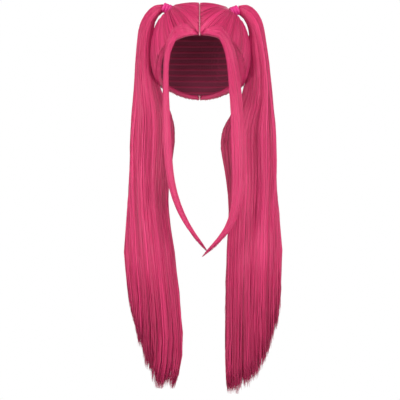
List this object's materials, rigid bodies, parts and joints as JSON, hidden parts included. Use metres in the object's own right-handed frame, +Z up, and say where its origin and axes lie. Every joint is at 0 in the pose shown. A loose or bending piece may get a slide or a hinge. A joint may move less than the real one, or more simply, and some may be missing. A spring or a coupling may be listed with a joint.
{
  "type": "pigtail wig",
  "caption": "Long straight wig on a net cap with a centre parting, two high side pigtails in elastic ties and two thin locks that frame the face.",
  "frame": {"origin": "where the top of the wearer's head touches the inside of the cap", "axes": "+Z up, the face looks along -Y, +X is to the right as seen from the front"},
  "size_m": [0.321, 0.2145, 0.7837],
  "materials": {
    "hair": "satin synthetic fibre",
    "hair_tie": "soft wound elastic",
    "cap_net": "matt stretch net with wefts",
    "parting_skin": "matt false skin"
  },
  "bodies": {
    "root": {"cap": "cap_net", "parting_strip": "parting_skin", "crown_hair_left": "hair", "crown_hair_right": "hair", "hair_tie_left": "hair_tie", "hair_tie_right": "hair_tie", "pigtail_left": "hair", "pigtail_right": "hair", "face_lock_left": "hair", "face_lock_right": "hair"}
  },
  "joints": []
}
